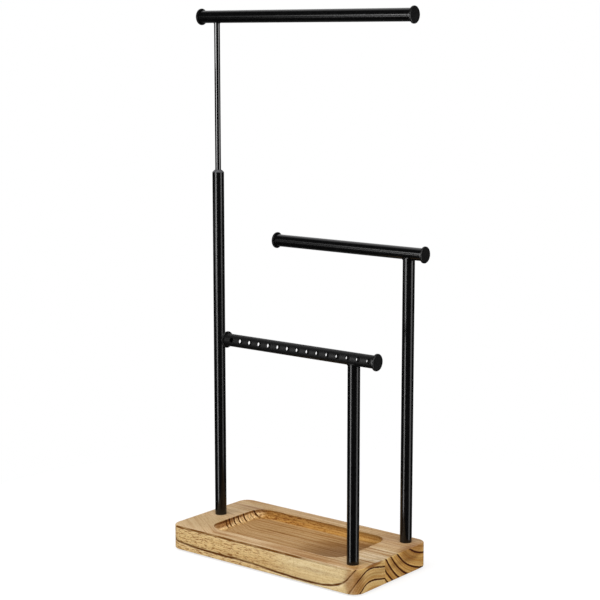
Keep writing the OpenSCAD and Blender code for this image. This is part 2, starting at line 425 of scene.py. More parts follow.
# Where streaks, flecks and fine lines fade along X or Y, and between which shares.
STREAKED_LEFT = (-90.0, -60.0)
STREAKED_FRONT = (0.0, 25.0)
STREAK_SHARE = (0.4, 1.0)
FLECKED = (60.0, -40.0)
FLECK_SHARE = (0.1, 1.0)
FINE_LINED = (0.0, -60.0)
FINE_SHARE = (0.2, 0.4)

# Left of LEAN_FROM the fibres lean towards the front, by LEAN mm for each mm.
LEAN_FROM = -66.0
LEAN = 0.7
LEANING = (30.0, 0.0)

# Where the rings widen towards the board's front, along Y.
FLARED = (-17.0, -46.0)

# A ring line's edges, in line widths from its middle, and their tones.
LINE_EDGES = ((-0.6, BLACK), (-0.35, PALE), (0.35, PALE), (0.8, BLACK))

# How sharply a stain changes at a line, and how far the last one reaches, in mm.
STAIN_STEP = 0.1
LAST_REACH = 30.0

# How much of a layer is lost on a kind of face.
STREAK_LOSS_END = 0.8
STREAK_LOSS_SIDE = 0.6
RING_LOSS_FLAT = 0.8
RING_LOSS_WORN = 0.55
STAIN_LOSS_TRAY = 0.6
BAND_LOSS_TRAY = 0.8

# The threads' strength in the tray, and how far the end bands drift per mm along X.
THREADS_IN_TRAY = 0.8
BAND_DRIFT = 0.02

# Grains of the wood. The flecks' mask is their dark side, GLINT_SPAN their pale one.
STREAK = Grain((80.0, 2.8, 2.8), detail=4.0, twist=0.25)
BROAD = Grain((60.0, 16.0, 16.0), detail=1.0, shift=3.0, span=(0.35, 0.65), mask=(0.35, 1.0))
THREAD = Grain((120.0, 1.7, 1.7), 2.0, shift=23.0, twist=0.15, span=(0.53, 0.62), mask=(0.0, 0.85))
BAND = Grain((2.2, 1.0, 1.0), detail=2.0, span=(0.42, 0.62), mask=(0.0, 0.85))
FLECK = Grain((7.0, 1.2, 1.0), detail=1.0, twist=0.9, span=(0.53, 0.61))
GLINT_SPAN = (0.46, 0.36)
PORE = Grain((11.0, 0.5, 0.5), detail=2.0, shift=11.0, span=(0.52, 0.70), mask=(0.0, 0.6))
STIPPLE = Grain((1.8, 0.9, 0.9), detail=1.0, shift=17.0, span=(0.52, 0.68), mask=(0.0, 0.6))
BREAK = Grain((22.0, 7.0, 7.0), detail=2.0, shift=29.0, span=(0.30, 0.55), mask=(0.65, 1.0))
ARRIS_NOISE = Grain((26.0, 6.0, 6.0), span=(0.35, 0.6), mask=(0.6, 1.0))
SLOW_WOBBLE = Grain((70.0, 24.0, 24.0), detail=1.0)
QUICK_WOBBLE = Grain((14.0, 2.4, 2.4), detail=2.0, shift=7.0)
SLOW_REACH = 2.0
QUICK_REACH = 0.8

# The streaks' stains and gloss by their noise, and the relief of the wood.
STREAK_STOPS = ((0.30, UMBER), (0.40, AMBER), (0.48, GOLD), (0.56, PALE), (0.8, PALE))
STREAK_GLOSS = (0.3, 0.7)
WOOD_ROUGHNESS = (0.64, 0.50)
WOOD_SPECULAR = 0.06
WOOD_RELIEF = 0.00012
WOOD_BUMP = 0.45


@dataclass(frozen=True)
class Ring:
    """A growth ring's dark line and the stain of the wood beside it.

    Attributes:
        radius: Distance of the line from the heart, in mm.
        inside: Stain just inside the line.
        outside: Stain just outside the line.
    """

    radius: float
    inside: Colour
    outside: Colour


@dataclass(frozen=True)
class Patch:
    """A soft-edged patch of darker or paler wood, or of painted shade.

    Attributes:
        centre: Its middle on the board, in mm.
        reach: How far it reaches along X, Y and Z, in mm.
        stain: Its stain, or its painted shade.
        strength: How strong the stain is in the middle.
        edge: Shares of the reach where it starts and where it is full.
    """

    centre: tuple[float, float, float]
    reach: tuple[float, float, float]
    stain: Colour
    strength: float = 1.0
    edge: Span = (1.0, 0.45)

    def mask(self, shader: Shader, place: Socket) -> Socket:
        """How strong the stain is at a place.

        Args:
            shader: The material's shader.
            place: Position on the board in mm.

        Returns:
            A value socket.
        """
        location = [-at / reach for at, reach in zip(self.centre, self.reach)]
        away = shader.scaled(place, location, [1 / reach for reach in self.reach])
        length = shader.add("ShaderNodeVectorMath", away, operation="LENGTH")
        return shader.ease(length.outputs["Value"], self.edge, (0.0, self.strength))


@dataclass(frozen=True)
class Timber:
    """The wood of one stave, sawn from a log whose heart lies beside it.

    Attributes:
        name: Name of the material.
        heart: Y and Z of the log's heart at the board's middle, in mm.
        climb: How far the heart rises per mm along the board.
        taper: Pairs of X and how much wider the rings are there, in mm.
        rings: The rings, from the heart outwards.
        fine_rings: Distances of fainter lines, strong at the left end only.
        patches: Its darker and paler patches.
        flare: How much wider the rings are at the board's front, in mm.
        inside: How strong the rings are inside the tray.
        shift: Moves the grain, so that the staves differ.
        line_width: Width of a ring's dark line, in mm.
        fade: How far the stain beside a line reaches, in mm.
        bold: How much bolder the lines are on the board's ends.
    """

    name: str
    heart: tuple[float, float]
    climb: float
    taper: tuple[tuple[float, float], ...]
    rings: tuple[Ring, ...]
    fine_rings: tuple[float, ...] = ()
    patches: tuple[Patch, ...] = ()
    flare: float = 0.0
    inside: float = 1.0
    shift: float = 0.0
    line_width: float = 1.5
    fade: float = 3.6
    bold: float = 0.7

    def stain_stops(self) -> list[tuple[float, Colour]]:
        """Stains by distance from the heart.

        Returns:
            Stops for a ramp.
        """
        stops = [(0.0, GOLD)]
        for ring in self.rings:
            stops += [
                (ring.radius - self.fade, GOLD),
                (ring.radius - STAIN_STEP, ring.inside),
                (ring.radius + STAIN_STEP, ring.outside),
                (ring.radius + self.fade, GOLD),
            ]
        return [*stops, (self.rings[-1].radius + LAST_REACH, PALE)]

    def line_stops(self, radii: Sequence[float]) -> list[tuple[float, Colour]]:
        """Black and white by distance from the heart: white on the lines.

        Args:
            radii: Distances of the lines, rising.

        Returns:
            Stops for a ramp.
        """
        stops = [(0.0, BLACK)]
        for radius in radii:
            stops += [(radius + edge * self.line_width, tone) for edge, tone in LINE_EDGES]
        return [*stops, (radii[-1] + LAST_REACH, BLACK)]


class WoodShader(Shader):
    """Paints the wood of one stave, layer by layer.

    Attributes:
        spot: Position on the board in mm, with x and y as its parts.
        behind: Distance from the board's front, in mm.
        below: Depth under the board's top, in mm.
        flat: Share of a level face. The others are end, upright and outside.
        tray: Share within the tray's outline, and inner within the tray itself.
        radius: Distance from the heart along the rings, in mm.
        ringed: How strong the rings are.
        fibre: Position along the leaning fibres.
        colour: The wood's colour so far.
    """

    def __init__(self, timber: Timber, origin: Sequence[float], size: Sequence[float]) -> None:
        """Finds where on the board a point lies, and on which kind of face.

        Args:
            timber: The stave's wood.
            origin: The middle of the board's underside, in metres.
            size: The board's length, width and thickness, in metres.
        """
        super().__init__(timber.name)
        self.timber = timber
        self.spot = self.place(origin)
        self.x, self.y, z = self.split(self.spot)
        _, width, thickness = (value / MM for value in size)
        self.behind = self.sum("ADD", self.y, width / 2)
        self.below = self.sum("SUBTRACT", thickness, z)

        across, _, up = (self.sum("ABSOLUTE", part) for part in self.facing())
        self.flat = self.ease(up, FLAT_FACE)
        self.end = self.ease(across, END_FACE)
        twice = self.product(self.sum("ABSOLUTE", self.y), 2.0)
        self.tray = self.ease(self.sum("MAXIMUM", self.sum("ABSOLUTE", self.x), twice), TRAY_EDGE)
        depth = self.product(self.ease(self.below, TRAY_MOUTH), self.ease(z, TRAY_FOOT))
        self.inner = self.product(self.tray, depth)
        self.upright = self.less(self.flat)
        self.outside = self.product(self.upright, self.less(self.inner))

        self.radius = self.ring_radius(z)
        self.ringed = self.product(
            self.less(self.flat, RING_LOSS_FLAT),
            self.less(self.product(self.inner, self.less(self.end)), RING_LOSS_WORN),
            self.less(self.inner, 1.0 - timber.inside),
        )
        self.fibre = self.lean(z)
        self.streaks = self.grain(self.fibre, STREAK, timber.shift)
        self.flecks = self.grain(self.spot, FLECK, timber.shift)
        self.pores = self.grain(self.fibre, PORE, timber.shift)
        self.colour: Socket = self.tone()

    def ring_radius(self, z: Socket) -> Socket:
        """Distance from the heart, with the log's taper, flare and wobble taken out.

        Args:
            z: Height over the board's underside, in mm.

        Returns:
            A value socket, in mm.
        """
        timber = self.timber
        height = self.sum("SUBTRACT", z, self.sum("MULTIPLY_ADD", self.x, timber.climb, timber.heart[1]))
        depth = self.sum("SUBTRACT", self.y, timber.heart[0])
        squares = self.sum("MULTIPLY_ADD", height, height, self.product(depth, depth))
        radius = self.sum("SUBTRACT", self.sum("SQRT", squares), self.curve(self.x, timber.taper))
        radius = self.sum("SUBTRACT", radius, self.ease(self.y, FLARED, (0.0, timber.flare)))
        slow = self.grain(self.spot, SLOW_WOBBLE, timber.shift)
        quick = self.grain(self.spot, QUICK_WOBBLE, timber.shift)
        wobble = self.sum("MULTIPLY_ADD", slow, SLOW_REACH, self.product(quick, QUICK_REACH))
        centred = self.sum("SUBTRACT", wobble, (SLOW_REACH + QUICK_REACH) / 2)
        return self.sum("ADD", radius, centred)

    def lean(self, z: Socket) -> Socket:
        """Position along the fibres, which run along the board and lean near its left end.

        Args:
            z: Height over the board's underside, in mm.

        Returns:
            A vector socket, in mm.
        """
        left = self.sum("MINIMUM", self.sum("ADD", self.x, -LEAN_FROM), 0.0)
        lean = self.product(left, LEAN, self.ease(self.y, LEANING))
        return self.join(self.x, self.sum("ADD", self.y, lean), z)

    def tone(self) -> Socket:
        """The tone of each kind of face, with painted light in it: painted sheen on the top, painted shade
        and bounced light in the tray, and paler tray end walls in place of light.

        Returns:
            A colour socket.
        """
        outer = self.mix(self.end, self.mix(self.flat, SIDE_TONE, TOP_TONE), END_TONE)
        inner = self.mix(self.end, self.mix(self.flat, WALL_TONE, FLOOR_TONE), SCOOP_TONE)
        return self.mix(self.inner, outer, inner)

    def stain(self, amount: Socket, stain: object) -> None:
        """Stains the wood, or lays painted shade on it, by an amount of 0 to 1."""
        self.colour = self.mix(amount, self.colour, stain, blend="MULTIPLY")

    def cover(self, amount: Socket, colour: object) -> None:
        """Covers the wood with a colour, by an amount of 0 to 1."""
        self.colour = self.mix(amount, self.colour, colour)

    def lay_streaks(self) -> None:
        """Lays streaks along the fibres, and thin dark threads on the planed faces."""
        left = self.ease(self.x, STREAKED_LEFT, STREAK_SHARE)
        plain = self.sum("MAXIMUM", left, self.ease(self.y, STREAKED_FRONT))
        strength = self.product(
            self.mask(self.spot, BROAD, self.timber.shift),
            plain,
            self.less(self.end, STREAK_LOSS_END),
            self.less(self.outside, STREAK_LOSS_SIDE),
        )
        self.stain(strength, self.ramp(self.streaks, STREAK_STOPS))
        planed = self.sum("MAXIMUM", self.flat, self.product(self.inner, THREADS_IN_TRAY))
        threads = self.mask(self.fibre, THREAD, self.timber.shift)
        self.stain(self.product(threads, plain, planed), AMBER)

    def lay_rings(self) -> None:
        """Stains the wood between the rings, with fine bands on the ends."""
        stained = self.product(self.ringed, self.less(self.inner, STAIN_LOSS_TRAY))
        self.stain(stained, self.ramp(self.radius, self.timber.stain_stops()))
        bands = self.mask(self.join(self.radius, self.product(self.x, BAND_DRIFT), 0.0), BAND)
        self.stain(self.product(self.end, self.less(self.inner, BAND_LOSS_TRAY), bands), AMBER)

    def lay_flecks(self) -> None:
        """Lays short wavy flecks on the upright faces, and fine pores everywhere."""
        wild = self.product(self.ease(self.x, FLECKED, FLECK_SHARE), self.upright)
        self.stain(self.product(self.ease(self.flecks, FLECK.span), wild), UMBER)
        self.stain(self.product(self.ease(self.flecks, GLINT_SPAN), wild), GLINT)
        self.stain(self.ease(self.pores, PORE.span, PORE.mask), AMBER)
        self.stain(self.mask(self.spot, STIPPLE, self.timber.shift), AMBER)

    def lay_lines(self) -> None:
        """Draws the rings' dark lines, broken here and there."""
        timber = self.timber
        lines = self.ramp(self.radius, timber.line_stops([ring.radius for ring in timber.rings]))
        bold = self.sum("MAXIMUM", self.inner, self.product(self.end, timber.bold))
        lines = self.product(lines, self.mask(self.spot, BREAK, timber.shift))
        lines = self.sum("MULTIPLY", lines, self.sum("ADD", bold, 1.0), clamp=True)
        ink = self.mix(self.product(self.end, self.outside), SIDE_LINE, LINE)
        self.cover(self.product(lines, self.ringed), ink)
        if timber.fine_rings:
            fine = self.ramp(self.radius, timber.line_stops(timber.fine_rings))
            faint = self.ease(self.x, FINE_LINED, FINE_SHARE)
            self.cover(self.product(fine, self.ringed, faint), ink)

    def lay_edges(self) -> None:
        """Darkens the tray's rim with painted shade, strongest at the left, and draws a broken dark line
        along the board's front arris.
        """
        rim_shade = self.product(self.tray, self.ease(self.below, RIM_TOP), self.ease(self.below, RIM_FOOT))
        # Painted shade along the tray's rim, strongest at the left end.
        self.stain(self.product(rim_shade, self.ease(self.x, RIM_LEFT, EDGE_FADE)), RIM_SHADE)
        arris = self.product(self.ease(self.below, ARRIS_DEPTH), self.ease(self.behind, ARRIS_WIDTH))
        arris_strength = self.mask(self.spot, ARRIS_NOISE, self.timber.shift)
        self.cover(self.product(arris, arris_strength, self.ease(self.x, ARRIS_RIGHT, EDGE_FADE)), ARRIS_DARK)

    def paint(self) -> bpy.types.Material:
        """Lays the layers in order.

        Returns:
            The finished wood.
        """
        self.lay_streaks()
        self.lay_rings()
        self.lay_flecks()
        for patch in self.timber.patches:
            self.stain(patch.mask(self, self.spot), patch.stain)
        self.lay_lines()
        self.lay_edges()
        self.dye(self.colour, self.ease(self.streaks, STREAK_GLOSS, WOOD_ROUGHNESS))
        self.emboss(self.sum("ADD", self.flecks, self.pores), WOOD_RELIEF, WOOD_BUMP)
        self.fix(Specular_IOR_Level=WOOD_SPECULAR)
        return self.material


# How the front stave's rings widen and narrow along the board, in mm.
FRONT_TAPER = (
    (-120.0, -15.0), (-104.0, -16.2), (-66.0, -17.9), (-5.0, -17.9), (15.0, -19.0), (65.0, -19.5),
    (85.0, -18.4), (95.0, -16.9), (104.0, -14.1), (112.0, -8.4), (120.0, -1.9),
)

# Patches that cross the glue line: the tray's right part, and painted shade in its front left corner.
CROSSING_PATCHES = (
    Patch((60.0, -5.0, 15.0), (60.0, 60.0, 4.0), OCHRE),
    Patch((84.0, -10.0, 15.0), (90.0, 80.0, 4.0), DEEP),
    Patch((68.0, -14.0, 15.0), (40.0, 60.0, 8.0), DUSK),
    # Painted shade in the tray's front left corner.
    Patch((-84.0, -16.0, 21.0), (14.0, 22.0, 4.2), CORNER_SHADE),
)

FRONT_TIMBER = Timber(
    name="wood_front_stave",
    heart=(-24.0, -30.0),
    climb=0.0,
    taper=FRONT_TAPER,
    rings=(Ring(39.0, PALE, AMBER), Ring(51.0, PALE, AMBER), Ring(62.5, PALE, GOLD)),
    patches=(
        *CROSSING_PATCHES,
        Patch((114.0, -57.0, 12.0), (12.0, 16.0, 18.0), UMBER, 0.8),
        Patch((120.0, -31.0, 24.5), (2.6, 18.0, 2.6), UMBER),
        Patch((45.0, -50.0, 25.0), (66.0, 9.0, 3.0), AMBER, 0.7),
        Patch((62.0, -54.0, 25.0), (30.0, 6.0, 3.0), AMBER, 0.7),
        Patch((108.0, -12.0, 25.0), (26.0, 34.0, 3.0), CHALK),
        Patch((112.0, -42.0, 25.0), (14.0, 20.0, 3.0), HONEY),
        Patch((75.0, -60.0, 11.0), (70.0, 8.0, 30.0), CREAM),
        Patch((120.0, -36.0, 12.0), (6.0, 44.0, 30.0), SHELL),
        Patch((-100.0, -30.0, 25.0), (34.0, 34.0, 3.0), SMOKE),
    ),
    flare=6.0,
    inside=0.15,
    bold=0.2,
)

BACK_TIMBER = Timber(
    name="wood_back_stave",
    heart=(60.0, 50.0),
    climb=1.0 / 6.0,
    taper=((-120.0, -28.0), (120.0, 0.0)),
    rings=(
        Ring(55.0, PALE, AMBER),
        Ring(70.0, PALE, AMBER),
        Ring(78.5, PALE, UMBER),
        Ring(85.6, PALE, UMBER),
        Ring(92.6, PALE, AMBER),
        Ring(98.0, PALE, GOLD),
    ),
    fine_rings=(48.0, 60.5, 65.0, 74.5, 81.5, 89.0),
    patches=(
        *CROSSING_PATCHES,
        Patch((120.0, 30.0, 20.0), (14.0, 26.0, 12.0), UMBER, 0.6),
        Patch((108.0, -4.0, 25.0), (26.0, 26.0, 3.0), BONE),
        Patch((108.0, 52.0, 25.0), (46.0, 34.0, 3.0), SAND),
        Patch((120.0, 20.0, 10.0), (6.0, 60.0, 30.0), STRAW),
        Patch((-30.0, 62.0, 25.0), (80.0, 20.0, 3.0), ASH),
        Patch((-100.0, 30.0, 25.0), (30.0, 30.0, 3.0), MILK),
        Patch((-20.0, 37.0, 24.0), (140.0, 8.0, 3.5), TAN, 0.9),
        Patch((72.0, 35.0, 21.0), (26.0, 16.0, 8.0), MIST),
    ),
    shift=31.0,
)


# ----- plain finishes -----

# Patches of a slightly different gloss, and how much paler a skin's bumps are.
GLOSS_PATCH = Grain((9.0, 9.0, 9.0), shift=5.0, span=(0.3, 0.7))
SKIN_DETAIL = 2.0
SKIN_SPAN = (0.35, 0.75)
SKIN_GAIN = 1.5
SKIN_LIFT = 0.0006


@dataclass(frozen=True)
class PlainFinish:
    """A plain finish with a fine skin: powder coat, plastic, nylon, zinc or felt.

    Attributes:
        name: Name of the material.
        colour: Its colour.
        roughness: Lowest and highest roughness over the surface.
        skin: Size of a bump of its skin, in mm.
        relief: Height of the skin, in metres.
        specular: Level of its plain reflection.
        metallic: How metallic it is.
    """

    name: str
    colour: Colour
    roughness: Span
    skin: float
    relief: float
    specular: float = 0.5
    metallic: float = 0.0

    def make(self) -> bpy.types.Material:
        """Makes the material.

        Returns:
            The finished material.
        """
        shader = Shader(self.name)
        place = shader.place((0.0, 0.0, 0.0))
        skin = shader.grain(place, Grain((self.skin,) * 3, SKIN_DETAIL))
        paler = tuple(SKIN_GAIN * part + SKIN_LIFT for part in self.colour)
        colour = shader.mix(shader.ease(skin, SKIN_SPAN), self.colour, paler)
        shader.dye(colour, shader.mask(place, replace(GLOSS_PATCH, mask=self.roughness)))
        shader.emboss(skin, self.relief)
        shader.fix(Specular_IOR_Level=self.specular, Metallic=self.metallic)
        return shader.material


JET = (0.0016, 0.0016, 0.0017)
COAT = PlainFinish("powder_coat_satin", JET, (0.18, 0.22), 2.2, 2e-7, specular=0.4)
ROD_COAT = PlainFinish("powder_coat_gloss", JET, (0.06, 0.08), 2.0, 1e-7, specular=1.0)
DRILLED_COAT = PlainFinish("powder_coat_matt", (0.0035, 0.0035, 0.0036), (0.42, 0.5), 0.6, 1e-6, specular=0.2)
CAP_PLASTIC = PlainFinish("cap_plastic", (0.0045, 0.0045, 0.0046), (0.26, 0.32), 0.5, 5e-7)
NYLON = PlainFinish("bush_nylon", (0.050, 0.050, 0.053), (0.42, 0.5), 0.6, 2e-6)
ZINC = PlainFinish("zinc_plated_steel", (0.52, 0.53, 0.55), (0.28, 0.42), 0.35, 2e-6, metallic=1.0)
FELT = PlainFinish("pressed_felt", (0.045, 0.042, 0.038), (0.92, 1.0), 0.18, 2e-4, specular=0.1)


# ----- pieces -----


def dress(nodes: Sequence[str], material: bpy.types.Material) -> None:
    """Gives CAD nodes a material.

    Args:
        nodes: Names of the nodes.
        material: Their finish.
    """
    for name in nodes:
        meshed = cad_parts[name]
        meshed.data.materials.clear()
        meshed.data.materials.append(material)
        log.info("dressed %s in %s", name, material.name)


def add_piece(
    name: str, mesh: bmesh.types.BMesh, material: bpy.types.Material, slot: Slot, body: Body, *replaced: str
) -> None:
    """Turns a bmesh into a finished piece that rides on a body.

    Args:
        name: Name of the piece.
        mesh: Its shape, in the frame's metres. It is freed here.
        material: Its finish.
        slot: The record's slot for that finish. Not used.
        body: The body that it moves with.
        replaced: CAD nodes that it stands for.
    """
    bmesh.ops.recalc_face_normals(mesh, faces=mesh.faces[:])
    data = bpy.data.meshes.new(name)
    mesh.to_mesh(data)
    mesh.free()
    data.materials.append(material)
    data.shade_smooth()
    piece = bpy.data.objects.new(name, data)
    bpy.context.scene.collection.objects.link(piece)
    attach(piece, body.value)
    if replaced:
        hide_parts(*replaced)
    log.info("built %s: %d faces on %s", name, len(data.polygons), body.value)


@dataclass
class WeldBead:
    """The bead of weld where a post or rod meets the underside of its rail.

    Attributes:
        name: Name of the piece.
        post: CAD node of the post or rod.
        rail: CAD node of the rail.
        body: The body that it moves with.
        width: Width of the bead, in metres.
        sides: Sides of the bead's own round section.
        segments: Steps of the bead round the post.
        ripples: Ripples of the weld round the post.
        ripple: Height of a ripple, as a share of the bead's own.
    """

    name: str
    post: str
    rail: str
    body: Body
    width: float = 0.0016
    sides: int = 10
    segments: int = 72
    ripples: int = 18
    ripple: float = 0.12

    def spin(self, radius: float) -> bmesh.types.BMesh:
        """Spins a level ring round the origin.

        Args:
            radius: Its radius, in metres.

        Returns:
            The ring.
        """
        mesh = bmesh.new()
        bmesh.ops.create_circle(
            mesh,
            segments=self.sides,
            radius=self.width / 2,
            matrix=Matrix.Translation((radius, 0.0, 0.0)) @ Matrix.Rotation(math.pi / 2, 4, "X"),
        )
        bmesh.ops.spin(
            mesh,
            geom=mesh.verts[:] + mesh.edges[:],
            axis=(0.0, 0.0, 1.0),
            cent=(0.0, 0.0, 0.0),
            angle=2 * math.pi,
            steps=self.segments,
            use_merge=True,
        )
        return mesh

    def build(self, material: bpy.types.Material) -> None:
        """Drops the ring onto the rail, along the saddle that the post ends in.

        Args:
            material: Finish of the bead.
        """
        post_low, post_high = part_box(self.post)
        rail_low, rail_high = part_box(self.rail)
        post_radius = (post_high.x - post_low.x) / 2
        rail_radius = (rail_high.z - rail_low.z) / 2
        centre = (post_low + post_high) / 2
        centre.z = (rail_low.z + rail_high.z) / 2
        seat = math.sqrt(rail_radius**2 - (centre.z - post_high.z) ** 2)
        mesh = self.spin(post_radius)
        for vert in mesh.verts:
            turn = math.atan2(vert.co.y, vert.co.x)
            beside = abs(post_radius * math.sin(turn))
            vert.co.y -= math.copysign(max(beside - seat, 0.0) / 2, vert.co.y)
            vert.co.z *= 1.0 + self.ripple * math.sin(self.ripples * turn)
            vert.co.z -= math.sqrt(rail_radius**2 - min(beside, seat) ** 2)
        bmesh.ops.translate(mesh, verts=mesh.verts[:], vec=centre)
        add_piece(self.name, mesh, material, Slot.COAT, self.body)


@dataclass
class Board:
    """The wooden board: two glued staves with a tray, on four felt pads.

    Attributes:
        front: CAD node of the front stave.
        back: CAD node of the back stave.
        pads: CAD nodes of the pads.
        pad_sides: Sides of a pad's round.
        pad_soft: How far a pad's rim is rounded, as a share of its height.
        pad_steps: Steps of that round.
    """

    front: str = "board_front_stave"
    back: str = "board_back_stave"
    pads: tuple[str, ...] = ("pad_front_left", "pad_front_right", "pad_back_left", "pad_back_right")
    pad_sides: int = 48
    pad_soft: float = 0.3
    pad_steps: int = 3

    def build(self) -> None:
        """Dresses the staves and makes the pads."""
        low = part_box(self.front)[0]
        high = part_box(self.back)[1]
        origin = ((low.x + high.x) / 2, (low.y + high.y) / 2, low.z)
        dress([self.front], WoodShader(FRONT_TIMBER, origin, high - low).paint())
        dress([self.back], WoodShader(BACK_TIMBER, origin, high - low).paint())
        felt = FELT.make()
        for pad in self.pads:
            self.build_pad(pad, felt)

    def build_pad(self, pad: str, felt: bpy.types.Material) -> None:
        """Makes one felt pad with a soft edge.

        Args:
            pad: CAD node that it stands for.
            felt: Its finish.
        """
        low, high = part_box(pad)
        radius, height = (high.x - low.x) / 2, high.z - low.z
        mesh = bmesh.new()
        bmesh.ops.create_cone(
            mesh,
            cap_ends=True,
            segments=self.pad_sides,
            radius1=radius,
            radius2=radius,
            depth=height,
            matrix=Matrix.Translation((low + high) / 2),
        )
        bmesh.ops.bevel(
            mesh,
            geom=[edge for edge in mesh.edges if edge.verts[0].co.z == edge.verts[1].co.z],
            offset=height * self.pad_soft,
            segments=self.pad_steps,
            profile=0.5,
            affect="EDGES",
            material=-1,
        )
        add_piece(pad + "_felt", mesh, felt, Slot.FELT, Body.STAND, pad)


@dataclass
class Rail:
    """A rail tube with its two end caps.

    Attributes:
        tube: CAD node of the tube.
    """

    tube: str

    def build(self, coat: bpy.types.Material, plastic: bpy.types.Material) -> None:
        """Dresses the tube and its caps.

        Args:
            coat: Finish of the tube.
            plastic: Finish of the caps.
        """
        dress([self.tube], coat)
        dress([self.tube + "_left_cap", self.tube + "_right_cap"], plastic)


@dataclass
class Stand:
    """Everything above the board: posts, rails, the sliding rod and their joints.

    Attributes:
        posts: First part of the names of each post's CAD nodes.
        plain_rails: Rails in the satin coat.
        drilled_rail: The earring rail, in a matt coat.
        beads: Weld beads under the rails.
    """

    posts: tuple[str, ...] = ("left_post", "back_post", "front_post")
    plain_rails: tuple[str, ...] = ("top_rail", "middle_rail")
    drilled_rail: str = "lower_rail"
    beads: tuple[WeldBead, ...] = (
        WeldBead("back_post_weld", "back_post_tube", "middle_rail", Body.STAND),
        WeldBead("front_post_weld", "front_post_tube", "lower_rail", Body.STAND),
        WeldBead("slide_rod_weld", "slide_rod", "top_rail", Body.TOP, width=0.0013),
    )

    def build(self) -> None:
        """Dresses the metalwork and adds the weld beads."""
        coat, drilled, plastic = COAT.make(), DRILLED_COAT.make(), CAP_PLASTIC.make()
        nylon, zinc = NYLON.make(), ZINC.make()
        for post in self.posts:
            dress([post + "_tube"], coat)
            dress([post + "_plug", post + "_bolt", post + "_washer"], zinc)
        for rail in self.plain_rails:
            Rail(rail).build(coat, plastic)
        Rail(self.drilled_rail).build(drilled, plastic)
        dress(["slide_rod"], ROD_COAT.make())
        dress(["mouth_bush", "lock_sleeve"], nylon)
        dress(["lock_cone"], zinc)
        for bead in self.beads:
            bead.build(drilled if bead.rail == self.drilled_rail else coat)


# ----- studio -----


def heading(azimuth: float, elevation: float) -> Vector:
    """Direction from the stand towards a place in the studio.

    Args:
        azimuth: Degrees from the front towards the right.
        elevation: Degrees above the horizon.

    Returns:
        A unit vector.
    """
    turn, rise = math.radians(azimuth), math.radians(elevation)
    return Vector((math.sin(turn) * math.cos(rise), -math.cos(turn) * math.cos(rise), math.sin(rise)))


@dataclass(frozen=True)
class Viewpoint:
    """Where the camera stands.

    Attributes:
        target: The point that it looks at, in metres.
        azimuth: Degrees round the stand from the front towards the right.
        pitch: Degrees above the target.
        distance: Metres from the target.
        lens: Focal length in mm.
        sensor: Width of the picture on the sensor, in mm.
        near: Metres from the camera at which the picture starts.
    """

    target: tuple[float, float, float] = (-0.003, 0.0, 0.2661)
    azimuth: float = 38.73
    pitch: float = 9.30
    distance: float = 1.586
    lens: float = 96.0
    sensor: float = 36.0
    near: float = 0.05

    def set_up(self) -> None:
        """Makes the camera."""
        data = bpy.data.cameras.new("camera")
        data.lens = self.lens
        data.sensor_width = self.sensor
        data.clip_start = self.near
        camera = bpy.data.objects.new("camera", data)
        back = heading(self.azimuth, self.pitch)
        camera.location = Vector(self.target) + back * self.distance
        camera.rotation_euler = (-back).to_track_quat("-Z", "Y").to_euler()
        bpy.context.scene.collection.objects.link(camera)
        bpy.context.scene.camera = camera


class Use(Enum):
    """What a lamp is there for."""

    LIGHT = "light"
    REFLECTION = "reflection"


@dataclass(frozen=True)
class SoftBox:
    """A soft studio lamp that faces the stand.

    Attributes:
        name: Name of the lamp.
        use: Whether it lights matt surfaces or shows as a streak in glossy ones.
        azimuth: Degrees from the front towards the right.
        distance: Metres from the stand's middle, along the floor.
        height: Metres from the floor to the lamp's middle.
        size: Width and height in metres.
        radiance: Brightness of its face, where a white wall at full light is 1.
        watts: Watts for each square metre of a face with a radiance of 1.
    """

    name: str
    use: Use
    azimuth: float
    distance: float
    height: float
    size: tuple[float, float]
    radiance: float
    watts: float = 4.0

    def hang(self, centre: Vector) -> None:
        """Adds the lamp. A reflection lamp stands upright, the others face the stand's middle.

        Args:
            centre: The stand's middle.
        """
        data = bpy.data.lights.new(self.name, "AREA")
        data.shape = "RECTANGLE"
        data.size, data.size_y = self.size
        data.energy = self.watts * self.radiance * self.size[0] * self.size[1]
        lamp = bpy.data.objects.new(self.name, data)
        lamp.location = heading(self.azimuth, 0.0) * self.distance + Vector((0.0, 0.0, self.height))
        lamp.visible_diffuse = self.use is Use.LIGHT
        lamp.visible_glossy = self.use is Use.REFLECTION
        aim = centre - lamp.location
        if self.use is Use.REFLECTION:
            aim.z = 0.0
        lamp.rotation_euler = aim.to_track_quat("-Z", "Y").to_euler()
        bpy.context.scene.collection.objects.link(lamp)

    def row(self, count: int, fade: float) -> list["SoftBox"]:
        """This lamp and weaker ones side by side, so that its streak fades away.

        Args:
            count: How many lamps stand in the row.
            fade: Share of the brightness that the next one keeps.

        Returns:
            The lamps.
        """
        turn = math.degrees(self.size[0] / self.distance)
        return [
            replace(
                self,
                name=f"{self.name}_{step}",
                azimuth=self.azimuth - step * turn,
                radiance=self.radiance * fade**step,
            )
            for step in range(count)
        ]


# The backdrop in reflections: a sweep behind the stand, this wide to each side,
# and dimmer below the horizon. Each span is of a ray's share along a direction.
SWEEP_BEHIND = (-0.45, 0.45)
SWEEP_BESIDE = (0.25, 0.60)
SWEEP_BELOW = (-0.5, 0.0)
SWEEP_FLOOR = (0.1, 1.0)
UP = Vector((0.0, 0.0, 1.0))


